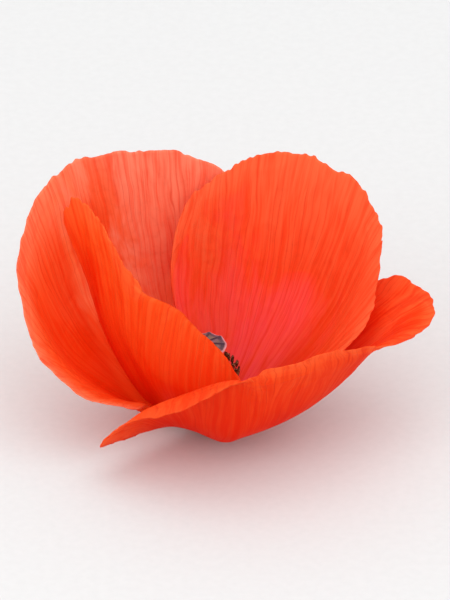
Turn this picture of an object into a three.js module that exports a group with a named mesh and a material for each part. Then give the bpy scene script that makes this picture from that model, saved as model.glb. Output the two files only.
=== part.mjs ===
// A corn poppy blossom, picked just under the head: two outer petals, two inner petals, the
// receptacle with a stub of stalk, the ovary, its stigma cap, and two rings of stamens.
// Millimetres, +Z up. The blossom stands upright on its stub and on the bellies of its outer
// petals. The origin is in the middle of its footprint, on the surface that it stands on.
import * as THREE from "three";

const PIECE_GAP = 0.3;

const PETAL_THICKNESS = 0.36;
const PETAL_STEPS_ALONG = 16;
const PETAL_STEPS_ACROSS = 26;
const PETAL_COLOR = "#f4471c";
// A claw meets the receptacle at this distance from the axis. The inner petals join it higher.
const CLAW_RADIUS = 3.3;
const CLAW_HEIGHT_OUTER = 2.1;
const CLAW_HEIGHT_INNER = 3.1;
// How much of a petal's spread its claw keeps.
const CLAW_SPREAD = 0.5;

const STALK_RADIUS = 1.1;
const STALK_STUB_HEIGHT = 0.9;
const RECEPTACLE_RADIUS = 2.9;
const RECEPTACLE_TOP = 3.8;
const RECEPTACLE_SHOULDER = 0.2;
const RECEPTACLE_SIDES = 28;
const RECEPTACLE_COLOR = "#7f9a4a";

const PISTIL_FOOT = RECEPTACLE_TOP + PIECE_GAP;
const OVARY_BASE_RADIUS = 1.6;
const OVARY_RADIUS = 3.0;
const OVARY_TOP_RADIUS = 2.7;
const OVARY_HEIGHT = 9.6;
const OVARY_SIDES = 30;
const OVARY_COLOR = "#8fa25e";
const STIGMA_RADIUS = 4.1;
const STIGMA_THICKNESS = 0.9;
const STIGMA_RAYS = 10;
const STIGMA_SIDES_PER_RAY = 6;
const STIGMA_RAY_HEIGHT = 0.22;
const STIGMA_SCALLOP = 0.16;
const STIGMA_COLOR = "#6d5560";
// The ovary leans a little to the left and to the front, in degrees.
const LEAN_LEFT = 5.5;
const LEAN_FRONT = 2;

const STAMENS_PER_RING = 24;
const STAMEN_SIDES = 6;
const FILAMENT_RADIUS = 0.12;
const ANTHER_RADIUS = 0.36;
const ANTHER_LENGTH = 1.25;
const STAMEN_COLOR = "#3a2226";
// The path of a stamen in each ring, from foot to tip, as [radius, height above the surface].
const STAMEN_RINGS = [
  [[2.25, PISTIL_FOOT], [3.35, 6.6], [4.05, 9.0], [4.3, 10.8]],
  [[2.65, PISTIL_FOOT], [3.95, 5.9], [5.0, 7.8], [5.4, 9.5]],
];

// A petal's ribs run from its claw to its rim. Each rib has a belly point, one or two points up
// the blade and a rim point, and each point is [azimuth in degrees, radius, height above the
// surface]. Seen from above, azimuths run anticlockwise, and the front is at 270.
const PETALS = {
  petal_outer_left: {
    claw: [CLAW_RADIUS, CLAW_HEIGHT_OUTER],
    ribs: [
      [[74, 9, 1.5], [76, 18, 14.5], [74, 23, 34]],
      [[97, 9, 1.4], [98, 19.5, 16], [97, 25, 37]],
      [[121, 9.5, 1.25], [121, 20, 17], [121, 25.5, 39.5]],
      [[143, 9.5, 1.15], [143, 21.5, 16.5], [143, 28.5, 40]],
      [[162, 9.5, 1.15], [162, 23, 15.5], [162, 30.9, 36.8]],
      [[178, 9.5, 1.15], [180, 24, 13], [178, 31.8, 30.3]],
      [[193, 9, 1.45], [194, 21, 10.5], [195, 30.5, 20.6]],
      [[204, 8.5, 1.7], [204, 17, 8.2], [211, 25.5, 13]],
      [[214, 7, 2.1], [214, 12, 6.4], [226, 17, 9.4]],
    ],
  },
  petal_outer_front: {
    claw: [CLAW_RADIUS, CLAW_HEIGHT_OUTER],
    ribs: [
      [[232, 7, 2.6], [228, 14.5, 4.4], [226, 21, 5.3], [224, 27.4, 5.1]],
      [[242, 7, 2.2], [242, 14, 6.4], [242, 22, 13.6], [238, 25, 12.9]],
      [[260, 7, 1.6], [260, 16, 8.4], [261, 23.5, 19.5], [258, 27, 18]],
      [[280, 7.5, 0.7], [280, 19.5, 8.5], [279, 26.2, 23.4], [277, 28, 23.6]],
      [[290, 7.5, 0.7], [290, 20.5, 9.3], [289, 26.6, 21], [288, 27.8, 25.8]],
      [[304, 7.5, 0.7], [304, 21, 10], [304, 26.4, 20.5], [304, 27.8, 26]],
      [[320, 7.5, 0.7], [320, 21.3, 10.2], [320, 26.8, 20], [319, 28.3, 25.2]],
      [[336, 7.5, 0.7], [336, 22, 10.6], [336, 28, 18.5], [335, 30, 22]],
      [[346, 7.5, 0.75], [346, 22.8, 11.5], [345, 29.5, 19], [344, 32.5, 20.5]],
      [[353, 7.5, 0.8], [353, 23.2, 11.5], [353, 31, 18.2], [354, 36.5, 20]],
      [[362, 7.5, 0.8], [361, 23.5, 11.5], [362, 32, 18.5], [361, 38.2, 22.5]],
      [[372, 7.5, 0.8], [371, 22.5, 11.5], [370, 30, 18.5], [369, 35, 24]],
      [[382, 7.5, 0.8], [381, 20, 10], [379, 26, 16], [379, 31, 21]],
      [[393, 7.5, 0.8], [392, 15, 7.5], [392, 20, 11], [391, 25, 14.5]],
    ],
  },
  petal_inner_back: {
    claw: [CLAW_RADIUS, CLAW_HEIGHT_INNER],
    ribs: [
      [[115, 7, 5.5], [116, 14.5, 20], [103, 20.5, 30.5]],
      [[95, 8.5, 3.5], [95, 16, 17.5], [89, 22, 34]],
      [[75, 9, 2.8], [72, 17.5, 17], [71, 23, 38.5]],
      [[54, 9, 2.6], [51, 18.5, 17.5], [51, 24.7, 40.7]],
      [[34, 9, 2.8], [33, 20.5, 17.5], [31, 27.7, 39.3]],
      [[16, 9, 2.9], [18, 21.5, 16.5], [17, 30, 34.8]],
      [[5, 9, 2.9], [8, 20.5, 14], [10, 29.7, 29.5]],
      [[-5, 8.5, 3.0], [0, 18.5, 11], [4, 28, 21]],
      [[-15, 8, 3.2], [-10, 14.5, 8], [-9, 25, 17]],
    ],
  },
  petal_inner_front: {
    claw: [CLAW_RADIUS, CLAW_HEIGHT_INNER],
    ribs: [
      [[186, 10, 3.6], [163, 17.5, 11.5], [156, 22.5, 21.5], [156, 27.2, 33.2]],
      [[194, 9.5, 3.9], [172, 16.5, 14.5], [162, 20.5, 27], [160, 23.2, 38.5]],
      [[204, 9, 4.5], [182, 14.5, 16], [170, 16.5, 26.5], [166, 18.5, 36.3]],
      [[218, 8.5, 4.7], [196, 13, 14.5], [184, 13.5, 23.5], [180, 14, 30]],
      [[232, 8, 4.4], [212, 12.2, 13.5], [203, 10.7, 25.5], [206, 8.7, 24.5]],
      [[248, 8, 4.2], [234, 12, 13.5], [230, 9.0, 25], [234, 6.5, 23]],
      [[266, 8, 4.0], [256, 12, 12.5], [255, 8.3, 22.1], [258, 6, 19.3]],
      [[284, 8, 3.8], [280, 12, 10.5], [285, 8.8, 17.9], [288, 6.3, 15.5]],
      [[302, 8, 3.8], [298, 11.5, 8.5], [301, 10.2, 13], [303, 8, 11.5]],
    ],
  },
};

function fromAxis([azimuth, radius, height]) {
  const angle = THREE.MathUtils.degToRad(azimuth);
  return new THREE.Vector3(radius * Math.cos(angle), radius * Math.sin(angle), height);
}

function smoothCurve(points) {
  return new THREE.CatmullRomCurve3(points, false, "catmullrom", 0.5);
}

// The petal's middle surface as rows of points: rows[j][i] is row j from claw to rim, place i
// across.
function petalRows({ claw, ribs }) {
  const middleAzimuth = (ribs[0][0][0] + ribs[ribs.length - 1][0][0]) / 2;
  const ribCurves = ribs.map((rib) => {
    const clawAzimuth = middleAzimuth + (rib[0][0] - middleAzimuth) * CLAW_SPREAD;
    return smoothCurve([[clawAzimuth, ...claw], ...rib].map(fromAxis));
  });
  const rows = [];
  for (let j = 0; j <= PETAL_STEPS_ALONG; j++) {
    const along = j / PETAL_STEPS_ALONG;
    const across = smoothCurve(ribCurves.map((curve) => curve.getPoint(along)));
    rows.push(across.getPoints(PETAL_STEPS_ACROSS));
  }
  return rows;
}

function surfaceNormal(rows, j, i) {
  const along = new THREE.Vector3().subVectors(
    rows[Math.min(j + 1, rows.length - 1)][i],
    rows[Math.max(j - 1, 0)][i],
  );
  const across = new THREE.Vector3().subVectors(
    rows[j][Math.min(i + 1, rows[j].length - 1)],
    rows[j][Math.max(i - 1, 0)],
  );
  return across.cross(along).normalize();
}

function solidGeometry(points, indices) {
  const geometry = new THREE.BufferGeometry().setFromPoints(points);
  geometry.setIndex(indices);
  geometry.computeVertexNormals();
  return geometry;
}

// A closed shell of even thickness around the rows of points.
function shellAround(rows, thickness) {
  const rowCount = rows.length;
  const placeCount = rows[0].length;
  const points = [];
  for (const side of [0.5, -0.5]) {
    for (let j = 0; j < rowCount; j++) {
      for (let i = 0; i < placeCount; i++) {
        const offset = surfaceNormal(rows, j, i).multiplyScalar(side * thickness);
        points.push(offset.add(rows[j][i]));
      }
    }
  }
  const indices = [];
  const at = (side, j, i) => side * rowCount * placeCount + j * placeCount + i;
  const addQuad = (a, b, c, d) => indices.push(a, b, c, a, c, d);
  for (let j = 0; j < rowCount - 1; j++) {
    for (let i = 0; i < placeCount - 1; i++) {
      addQuad(at(0, j, i), at(0, j, i + 1), at(0, j + 1, i + 1), at(0, j + 1, i));
      addQuad(at(1, j, i), at(1, j + 1, i), at(1, j + 1, i + 1), at(1, j, i + 1));
    }
  }
  const edge = [];
  for (let i = 0; i < placeCount - 1; i++) edge.push([0, i]);
  for (let j = 0; j < rowCount - 1; j++) edge.push([j, placeCount - 1]);
  for (let i = placeCount - 1; i > 0; i--) edge.push([rowCount - 1, i]);
  for (let j = rowCount - 1; j > 0; j--) edge.push([j, 0]);
  edge.forEach(([j, i], k) => {
    const [nextJ, nextI] = edge[(k + 1) % edge.length];
    addQuad(at(1, j, i), at(1, nextJ, nextI), at(0, nextJ, nextI), at(0, j, i));
  });
  return solidGeometry(points, indices);
}

// A closed skin over rings of points, with a single point before the first ring and after the
// last. Seen from the last point, each ring runs anticlockwise.
function skinOverRings(start, rings, end) {
  const sides = rings[0].length;
  const points = [start, ...rings.flat(), end];
  const indices = [];
  for (let i = 0; i < sides; i++) {
    const next = (i + 1) % sides;
    indices.push(0, 1 + next, 1 + i);
    for (let k = 0; k < rings.length - 1; k++) {
      const lower = 1 + k * sides;
      const upper = lower + sides;
      indices.push(lower + i, lower + next, upper + next, lower + i, upper + next, upper + i);
    }
    const last = 1 + (rings.length - 1) * sides;
    indices.push(last + i, last + next, points.length - 1);
  }
  return solidGeometry(points, indices);
}

// A solid turned about the axis from a profile of [radius, height] points that starts and ends
// on the axis. The shape function may change the radius and height at each angle.
function turnedSolid(profile, sides, shape = (angle, radius, height) => [radius, height]) {
  const rings = profile.slice(1, -1).map(([radius, height]) => {
    const ring = [];
    for (let i = 0; i < sides; i++) {
      const angle = (i / sides) * 2 * Math.PI;
      const [r, z] = shape(angle, radius, height);
      ring.push(new THREE.Vector3(r * Math.cos(angle), r * Math.sin(angle), z));
    }
    return ring;
  });
  const onAxis = ([, height]) => new THREE.Vector3(0, 0, height);
  return skinOverRings(onAxis(profile[0]), rings, onAxis(profile[profile.length - 1]));
}

function receptacleStalk() {
  const waist = STALK_STUB_HEIGHT;
  const depth = RECEPTACLE_TOP - waist;
  const flare = (share) => STALK_RADIUS + (RECEPTACLE_RADIUS - STALK_RADIUS) * share;
  return turnedSolid([
    [0, 0],
    [STALK_RADIUS, 0],
    [STALK_RADIUS, waist],
    [flare(0.3), waist + depth * 0.16],
    [flare(0.75), waist + depth * 0.34],
    [flare(0.96), waist + depth * 0.5],
    [RECEPTACLE_RADIUS, waist + depth * 0.68],
    [RECEPTACLE_RADIUS, waist + depth * 0.9],
    [RECEPTACLE_RADIUS - RECEPTACLE_SHOULDER, RECEPTACLE_TOP],
    [0, RECEPTACLE_TOP],
  ], RECEPTACLE_SIDES);
}

function ovary() {
  const at = (share) => PISTIL_FOOT + OVARY_HEIGHT * share;
  const swell = (share) => OVARY_BASE_RADIUS + (OVARY_RADIUS - OVARY_BASE_RADIUS) * share;
  return turnedSolid([
    [0, at(0)],
    [OVARY_BASE_RADIUS, at(0)],
    [swell(0.25), at(0.08)],
    [swell(0.55), at(0.22)],
    [swell(0.8), at(0.38)],
    [swell(0.95), at(0.54)],
    [OVARY_RADIUS, at(0.7)],
    [swell(0.97), at(0.86)],
    [OVARY_TOP_RADIUS, at(1)],
    [0, at(1)],
  ], OVARY_SIDES);
}

// The rays are ridges on the upper side, and the rim runs out a little at the end of each ray.
function stigmaCap() {
  const foot = PISTIL_FOOT + OVARY_HEIGHT + PIECE_GAP;
  const top = foot + STIGMA_THICKNESS;
  const upperSide = foot + STIGMA_THICKNESS * 0.45;
  const profile = [
    [0, foot],
    [0.66, foot],
    [0.94, foot + STIGMA_THICKNESS * 0.12],
    [1, foot + STIGMA_THICKNESS * 0.34],
    [0.92, foot + STIGMA_THICKNESS * 0.55],
    [0.7, foot + STIGMA_THICKNESS * 0.72],
    [0.4, foot + STIGMA_THICKNESS * 0.88],
    [0.14, top],
    [0, top],
  ].map(([share, height]) => [share * STIGMA_RADIUS, height]);
  return turnedSolid(profile, STIGMA_RAYS * STIGMA_SIDES_PER_RAY, (angle, radius, height) => {
    const ray = (1 + Math.cos(angle * STIGMA_RAYS)) / 2;
    const reach = radius / STIGMA_RADIUS;
    const rise = height > upperSide ? ray * reach * STIGMA_RAY_HEIGHT : 0;
    return [radius + ray * reach ** 3 * STIGMA_SCALLOP, height + rise];
  });
}

// Leans a piece of the pistil about the foot of the ovary.
function leanPistil(geometry) {
  geometry.translate(0, 0, -PISTIL_FOOT);
  geometry.rotateY(-THREE.MathUtils.degToRad(LEAN_LEFT));
  geometry.rotateX(THREE.MathUtils.degToRad(LEAN_FRONT));
  geometry.translate(0, 0, PISTIL_FOOT);
  return geometry;
}

// A thin filament with an anther at its end, in one piece.
function stamen(path, azimuth) {
  const curve = smoothCurve(path.map((point) => fromAxis([azimuth, ...point])));
  const length = curve.getLength();
  const antherAt = (share) => 1 - (ANTHER_LENGTH * (1 - share)) / length;
  const stations = [
    [0, FILAMENT_RADIUS],
    [0.3, FILAMENT_RADIUS],
    [antherAt(-0.35), FILAMENT_RADIUS],
    [antherAt(0.02), FILAMENT_RADIUS],
    [antherAt(0.2), ANTHER_RADIUS * 0.8],
    [antherAt(0.5), ANTHER_RADIUS],
    [antherAt(0.85), ANTHER_RADIUS * 0.7],
  ];
  const angle = THREE.MathUtils.degToRad(azimuth);
  const sideways = new THREE.Vector3(-Math.sin(angle), Math.cos(angle), 0);
  const rings = stations.map(([along, radius]) => {
    const center = curve.getPointAt(along);
    const inward = new THREE.Vector3().crossVectors(curve.getTangentAt(along), sideways);
    const ring = [];
    for (let i = 0; i < STAMEN_SIDES; i++) {
      const turn = (i / STAMEN_SIDES) * 2 * Math.PI;
      ring.push(center.clone()
        .addScaledVector(sideways, radius * Math.cos(turn))
        .addScaledVector(inward, radius * Math.sin(turn)));
    }
    return ring;
  });
  return skinOverRings(curve.getPoint(0), rings, curve.getPoint(1));
}

const flower = new THREE.Group();

function addPiece(name, geometry, color, roughness) {
  const material = new THREE.MeshStandardMaterial({ color, roughness, metalness: 0 });
  const mesh = new THREE.Mesh(geometry, material);
  mesh.name = name;
  flower.add(mesh);
}

for (const [name, petal] of Object.entries(PETALS)) {
  addPiece(name, shellAround(petalRows(petal), PETAL_THICKNESS), PETAL_COLOR, 0.5);
}
addPiece("receptacle_stalk", receptacleStalk(), RECEPTACLE_COLOR, 0.6);
addPiece("ovary", leanPistil(ovary()), OVARY_COLOR, 0.55);
addPiece("stigma_cap", leanPistil(stigmaCap()), STIGMA_COLOR, 0.75);
STAMEN_RINGS.forEach((path, ring) => {
  for (let i = 0; i < STAMENS_PER_RING; i++) {
    const azimuth = ((i + ring / 2) / STAMENS_PER_RING) * 360;
    const number = String(ring * STAMENS_PER_RING + i + 1).padStart(2, "0");
    addPiece(`stamen_${number}`, stamen(path, azimuth), STAMEN_COLOR, 0.8);
  }
});

const box = new THREE.Box3().setFromObject(flower);
const center = box.getCenter(new THREE.Vector3());
for (const mesh of flower.children) mesh.geometry.translate(-center.x, -center.y, -box.min.z);

export default flower;
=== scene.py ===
"""A corn poppy blossom, picked just under the head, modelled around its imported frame.

Every piece is in metres, in the frame's own place. The petals are lofted over the same ribs as
the frame's plain petals, then crumpled, frayed and given their thickness.
"""
import math

import bmesh
import bpy
import numpy as np
from mathutils import Matrix, Vector


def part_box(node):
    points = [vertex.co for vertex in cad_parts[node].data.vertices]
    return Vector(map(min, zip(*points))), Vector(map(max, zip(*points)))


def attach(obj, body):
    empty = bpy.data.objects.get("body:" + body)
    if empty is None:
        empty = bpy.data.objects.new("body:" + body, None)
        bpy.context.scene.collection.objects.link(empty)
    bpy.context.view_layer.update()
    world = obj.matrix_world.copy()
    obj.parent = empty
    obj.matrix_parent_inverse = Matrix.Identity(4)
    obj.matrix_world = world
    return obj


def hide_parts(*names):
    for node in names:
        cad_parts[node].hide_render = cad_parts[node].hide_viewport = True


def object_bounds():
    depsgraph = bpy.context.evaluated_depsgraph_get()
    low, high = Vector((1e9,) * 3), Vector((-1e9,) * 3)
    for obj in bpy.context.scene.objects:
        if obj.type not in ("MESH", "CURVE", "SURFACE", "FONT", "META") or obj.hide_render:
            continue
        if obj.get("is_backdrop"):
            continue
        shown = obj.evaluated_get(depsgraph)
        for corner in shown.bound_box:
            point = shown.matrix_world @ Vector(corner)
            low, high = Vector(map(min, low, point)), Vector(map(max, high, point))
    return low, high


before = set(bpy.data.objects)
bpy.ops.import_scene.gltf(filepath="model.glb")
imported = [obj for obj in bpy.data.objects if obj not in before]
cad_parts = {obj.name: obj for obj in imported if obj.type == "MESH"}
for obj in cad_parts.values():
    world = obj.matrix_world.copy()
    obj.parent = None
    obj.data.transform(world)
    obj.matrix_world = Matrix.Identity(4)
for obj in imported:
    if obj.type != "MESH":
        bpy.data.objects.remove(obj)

bl_info = {
    "name": "Corn Poppy Blossom",
    "version": (1, 0, 0),
    "blender": (4, 5, 0),
    "location": "View3D > Sidebar > Poppy",
    "description": "Builds the looks of a corn poppy blossom around its packed frame",
    "category": "Add Mesh",
}

MM = 0.001
BODY = "root"

# ---------------------------------------------------------------------------------------------
# Places that come from the frame
# ---------------------------------------------------------------------------------------------


def node_middle(node):
    low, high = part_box(node)
    return (low + high) / 2


AXIS = Vector((node_middle("receptacle_stalk").x, node_middle("receptacle_stalk").y, 0.0))
RECEPTACLE_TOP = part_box("receptacle_stalk")[1].z
PIECE_GAP = 0.3 * MM
CAD_LOW, CAD_HIGH = (Vector(corner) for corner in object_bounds())

# ---------------------------------------------------------------------------------------------
# The petals' ribs, as in the part's own source: claw [radius, height], then for each rib a belly
# point, one or two points up the blade and a rim point, as [azimuth in degrees, radius, height].
# ---------------------------------------------------------------------------------------------

CLAW_SPREAD = 0.5
PETALS = {
    "petal_outer_left": {
        "claw": [3.3, 2.1],
        "ribs": [
            [[74, 9, 1.5], [76, 18, 14.5], [74, 23, 34]],
            [[97, 9, 1.4], [98, 19.5, 16], [97, 25, 37]],
            [[121, 9.5, 1.25], [121, 20, 17], [121, 25.5, 39.5]],
            [[143, 9.5, 1.15], [143, 21.5, 16.5], [143, 28.5, 40]],
            [[162, 9.5, 1.15], [162, 23, 15.5], [162, 30.9, 36.8]],
            [[178, 9.5, 1.15], [180, 24, 13], [178, 31.8, 30.3]],
            [[193, 9, 1.45], [194, 21, 10.5], [195, 30.5, 20.6]],
            [[204, 8.5, 1.7], [204, 17, 8.2], [211, 25.5, 13]],
            [[214, 7, 2.1], [214, 12, 6.4], [226, 17, 9.4]],
        ],
    },
    "petal_outer_front": {
        "claw": [3.3, 2.1],
        "ribs": [
            [[232, 7, 2.6], [228, 14.5, 4.4], [226, 21, 5.3], [224, 27.4, 5.1]],
            [[242, 7, 2.2], [242, 14, 6.4], [242, 22, 13.6], [238, 25, 12.9]],
            [[260, 7, 1.6], [260, 16, 8.4], [261, 23.5, 19.5], [258, 27, 18]],
            [[280, 7.5, 0.7], [280, 19.5, 8.5], [279, 26.2, 23.4], [277, 28, 23.6]],
            [[290, 7.5, 0.7], [290, 20.5, 9.3], [289, 26.6, 21], [288, 27.8, 25.8]],
            [[304, 7.5, 0.7], [304, 21, 10], [304, 26.4, 20.5], [304, 27.8, 26]],
            [[320, 7.5, 0.7], [320, 21.3, 10.2], [320, 26.8, 20], [319, 28.3, 25.2]],
            [[336, 7.5, 0.7], [336, 22, 10.6], [336, 28, 18.5], [335, 30, 22]],
            [[346, 7.5, 0.75], [346, 22.8, 11.5], [345, 29.5, 19], [344, 32.5, 20.5]],
            [[353, 7.5, 0.8], [353, 23.2, 11.5], [353, 31, 18.2], [354, 36.5, 20]],
            [[362, 7.5, 0.8], [361, 23.5, 11.5], [362, 32, 18.5], [361, 38.2, 22.5]],
            [[372, 7.5, 0.8], [371, 22.5, 11.5], [370, 30, 18.5], [369, 35, 24]],
            [[382, 7.5, 0.8], [381, 20, 10], [379, 26, 16], [379, 31, 21]],
            [[393, 7.5, 0.8], [392, 15, 7.5], [392, 20, 11], [391, 25, 14.5]],
        ],
    },
    "petal_inner_back": {
        "claw": [3.3, 3.1],
        "ribs": [
            [[115, 7, 5.5], [116, 14.5, 20], [103, 20.5, 30.5]],
            [[95, 8.5, 3.5], [95, 16, 17.5], [89, 22, 34]],
            [[75, 9, 2.8], [72, 17.5, 17], [71, 23, 38.5]],
            [[54, 9, 2.6], [51, 18.5, 17.5], [51, 24.7, 40.7]],
            [[34, 9, 2.8], [33, 20.5, 17.5], [31, 27.7, 39.3]],
            [[16, 9, 2.9], [18, 21.5, 16.5], [17, 30, 34.8]],
            [[5, 9, 2.9], [8, 20.5, 14], [10, 29.7, 29.5]],
            [[-5, 8.5, 3.0], [0, 18.5, 11], [4, 28, 21]],
            [[-15, 8, 3.2], [-10, 14.5, 8], [-9, 25, 17]],
        ],
    },
    "petal_inner_front": {
        "claw": [3.3, 3.1],
        "ribs": [
            [[186, 10, 3.6], [163, 17.5, 11.5], [156, 22.5, 21.5], [156, 27.2, 33.2]],
            [[194, 9.5, 3.9], [172, 16.5, 14.5], [162, 20.5, 27], [160, 23.2, 38.5]],
            [[204, 9, 4.5], [182, 14.5, 16], [170, 16.5, 26.5], [166, 18.5, 36.3]],
            [[218, 8.5, 4.7], [196, 13, 14.5], [184, 13.5, 23.5], [180, 14, 30]],
            [[232, 8, 4.4], [212, 12.2, 13.5], [203, 10.7, 25.5], [206, 8.7, 24.5]],
            [[248, 8, 4.2], [234, 12, 13.5], [230, 9.0, 25], [234, 6.5, 23]],
            [[266, 8, 4.0], [256, 12, 12.5], [255, 8.3, 22.1], [258, 6, 19.3]],
            [[284, 8, 3.8], [280, 12, 10.5], [285, 8.8, 17.9], [288, 6.3, 15.5]],
            [[302, 8, 3.8], [298, 11.5, 8.5], [301, 10.2, 13], [303, 8, 11.5]],
        ],
    },
}

# How each petal is crumpled and coloured. Ruffle and crease are heights in millimetres. Rise is the
# stretch from claw to rim over which the deep colour gives way to the blade's, and wash the one
# over which the blade's gives way to the rim's; on the front petal the deep foot reaches far up as
# painted shade on its underside, which faces down. The deep tone and shade says how far the deep
# colour spreads, at places across the petal: partly the petal's own deeper tone, partly painted
# shade beside the overlapping inner petal, in the fold under the front petal's rolled lip and on
# its underside. The rim is warm there. Corner is how far the rim is drawn in at both sides, as a
# share of the blade's length.
PETAL_CHARACTER = {
    "petal_outer_left": {
        "seed": 11, "ruffle": 0.6, "crease": 0.13, "corner": 0.13, "slot": "petal_outer",
        "rim": "#ff9a78", "warm_rim": "#ff8040", "blade": "#ff7e4c", "deep": "#f83e06",
        "rise": (0.12, 0.42), "wash": (0.42, 0.85),
        "deep_tone_and_shade": ((0.0, 0.0), (0.32, 0.0), (0.43, 0.85), (0.62, 1.0)),
    },
    "petal_outer_front": {
        "seed": 23, "ruffle": 0.5, "crease": 0.12, "corner": 0.13, "slot": "petal_outer",
        "rim": "#ff703a", "warm_rim": "#ff6424", "blade": "#ff4a14", "deep": "#ee2806",
        "rise": (0.3, 0.8), "wash": (0.66, 0.98),
        "deep_tone_and_shade": ((0.0, 0.4), (0.16, 0.6), (0.25, 0.9), (0.33, 0.5), (0.64, 0.6), (0.78, 0.0)),
    },
    "petal_inner_back": {
        "seed": 37, "ruffle": 0.6, "crease": 0.15, "corner": 0.13, "slot": "petal_inner",
        "rim": "#ff7a4a", "warm_rim": "#ff7644", "blade": "#ff5627", "deep": "#f23a0e",
        "rise": (0.0, 0.05), "wash": (0.72, 1.0),
        "deep_tone_and_shade": ((0.0, 0.0), (0.44, 0.0), (0.64, 0.7), (1.0, 0.65)),
        "blush": "#ff5a60",
    },
    "petal_inner_front": {
        "seed": 41, "ruffle": 0.35, "crease": 0.1, "corner": 0.03, "slot": "petal_inner",
        "rim": "#ff7438", "warm_rim": "#ff7438", "blade": "#ff6c26", "deep": "#f43406",
        "rise": (0.45, 0.95), "wash": (0.84, 1.0),
        "deep_tone_and_shade": ((0.0, 0.0), (0.4, 0.15), (0.7, 0.3), (1.0, 0.2)),
    },
}

# ---------------------------------------------------------------------------------------------
# Settings
# ---------------------------------------------------------------------------------------------


def linear(hex_color):
    """An sRGB hex colour as linear red, green, blue and alpha."""
    channels = []
    for k in (1, 3, 5):
        value = int(hex_color[k:k + 2], 16) / 255
        channels.append(value / 12.92 if value <= 0.04045 else ((value + 0.055) / 1.055) ** 2.4)
    return (*channels, 1.0)


def length_property(name, description, millimetres):
    return bpy.props.FloatProperty(
        name=name, description=description, default=millimetres * MM, min=0.0,
        unit="LENGTH", subtype="DISTANCE", precision=5,
    )


def color_property(name, description, hex_color):
    return bpy.props.FloatVectorProperty(
        name=name, description=description, default=linear(hex_color), size=4, min=0.0, max=1.0,
        subtype="COLOR",
    )


class PoppyPetalSettings(bpy.types.PropertyGroup):
    thickness: length_property("Thickness", "Thickness of a petal's blade", 0.2)
    tooth: length_property("Tooth depth", "Depth of the fine teeth along a petal's rim", 0.5)
    pleat: length_property("Pleat height", "Height of the fine pleats that fan out from the claw", 0.05)
    vein_gap: length_property("Vein gap", "Distance between neighbouring veins near the rim", 1.25)
    glow: bpy.props.FloatProperty(
        name="Glow", description="Share of the light on a petal that shines through it",
        default=0.32, min=0.0, max=1.0, subtype="FACTOR",
    )
    tint: color_property("Tint", "Colour that multiplies the four petals' own colours", "#ffffff")


class PoppyCentreSettings(bpy.types.PropertyGroup):
    filament_width: length_property("Filament width", "Thickness of a stamen's stalk", 0.2)
    anther_length: length_property("Anther length", "Length of the anther on each stamen", 1.25)
    rays: bpy.props.IntProperty(
        name="Stigma rays", description="Number of velvety rays on the stigma cap", default=10, min=5,
    )
    extra_stamens: bpy.props.IntProperty(
        name="Inner stamens", description="Short stamens that fill the gap beside the ovary",
        default=24, min=0,
    )
    stalk_color: color_property("Stalk", "Colour of the receptacle and its stub of stalk", "#7c9a48")
    ovary_color: color_property("Ovary", "Colour of the ovary", "#8ea45c")
    ray_color: color_property("Stigma rays", "Colour of the rays on the stigma cap", "#45303c")
    filament_color: color_property("Filaments", "Colour of the stamens' stalks", "#4a2430")
    anther_color: color_property("Anthers", "Colour of the anthers under their pollen", "#5a1a10")


class PoppyStageSettings(bpy.types.PropertyGroup):
    elevation: bpy.props.FloatProperty(
        name="Camera elevation", description="How far the camera looks down on the blossom",
        default=math.radians(32), subtype="ANGLE",
    )
    distance: bpy.props.FloatProperty(
        name="Camera distance", description="Distance from the blossom to the camera",
        default=1.2, unit="LENGTH", subtype="DISTANCE",
    )
    view_height: length_property("View height", "Height of what the camera sees", 102)


# ---------------------------------------------------------------------------------------------
# Small helpers
# ---------------------------------------------------------------------------------------------


def deselect_all():
    if bpy.context.object is not None and bpy.context.object.mode != "OBJECT":
        bpy.ops.object.mode_set(mode="OBJECT")
    bpy.ops.object.select_all(action="DESELECT")


def make_active(piece):
    deselect_all()
    piece.select_set(True)
    bpy.context.view_layer.objects.active = piece


def apply_place(piece):
    """Puts the piece's place into its mesh, so that its object sits at the origin, unturned."""
    make_active(piece)
    bpy.ops.object.transform_apply(location=True, rotation=True, scale=True)


def apply_modifier(piece, kind, **settings):
    make_active(piece)
    modifier = piece.modifiers.new(kind.title(), kind)
    for name, value in settings.items():
        setattr(modifier, name, value)
    bpy.ops.object.modifier_apply(modifier=modifier.name)


def smooth(piece):
    make_active(piece)
    bpy.ops.object.shade_smooth()


def finish_piece(piece, slot, nodes, *materials):
    """Gives the piece its finishes, puts it on the body that it rides on, and hides the frame nodes
    that it stands for.
    """
    for material in materials:
        piece.data.materials.append(material)
    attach(piece, BODY)
    if nodes:
        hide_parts(*nodes)


def smoothstep(low, high, x):
    t = np.clip((x - low) / (high - low), 0, 1)
    return t * t * (3 - 2 * t)


# ---------------------------------------------------------------------------------------------
# Materials
# ---------------------------------------------------------------------------------------------


# Kinds of node that come again and again. A mix of two colours takes its factor at socket 0 and the
# colours at 6 and 7, and gives its result at 2.
MATH = "ShaderNodeMath"
NOISE = "ShaderNodeTexNoise"
RAMP = "ShaderNodeValToRGB"
MIX = "ShaderNodeMix"
OF_COLORS = {"output": 2, "data_type": "RGBA"}


def add(tree, kind, inputs=None, output=0, stops=(), **settings):
    """Adds a node with its settings and links, and returns one of its output sockets.

    An input is a value, or the output socket to link to it. Stops are a ramp's places, each with
    its grey value or its colour.
    """
    node = tree.nodes.new(kind)
    for name, value in settings.items():
        setattr(node, name, value)
    for name, value in (inputs or {}).items():
        socket = node.inputs[name]
        if isinstance(value, bpy.types.NodeSocket):
            tree.links.new(value, socket)
        else:
            socket.default_value = value
    if stops:
        elements = node.color_ramp.elements
        while len(elements) < len(stops):
            elements.new(0.5)
        for element, (place, value) in zip(elements, stops):
            element.position = place
            element.color = value if isinstance(value, tuple) else (value, value, value, 1.0)
    return node.outputs[output] if node.outputs else None


def new_material(name):
    material = bpy.data.materials.new(name)
    material.use_nodes = True
    material.node_tree.nodes.clear()
    return material, material.node_tree


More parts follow.
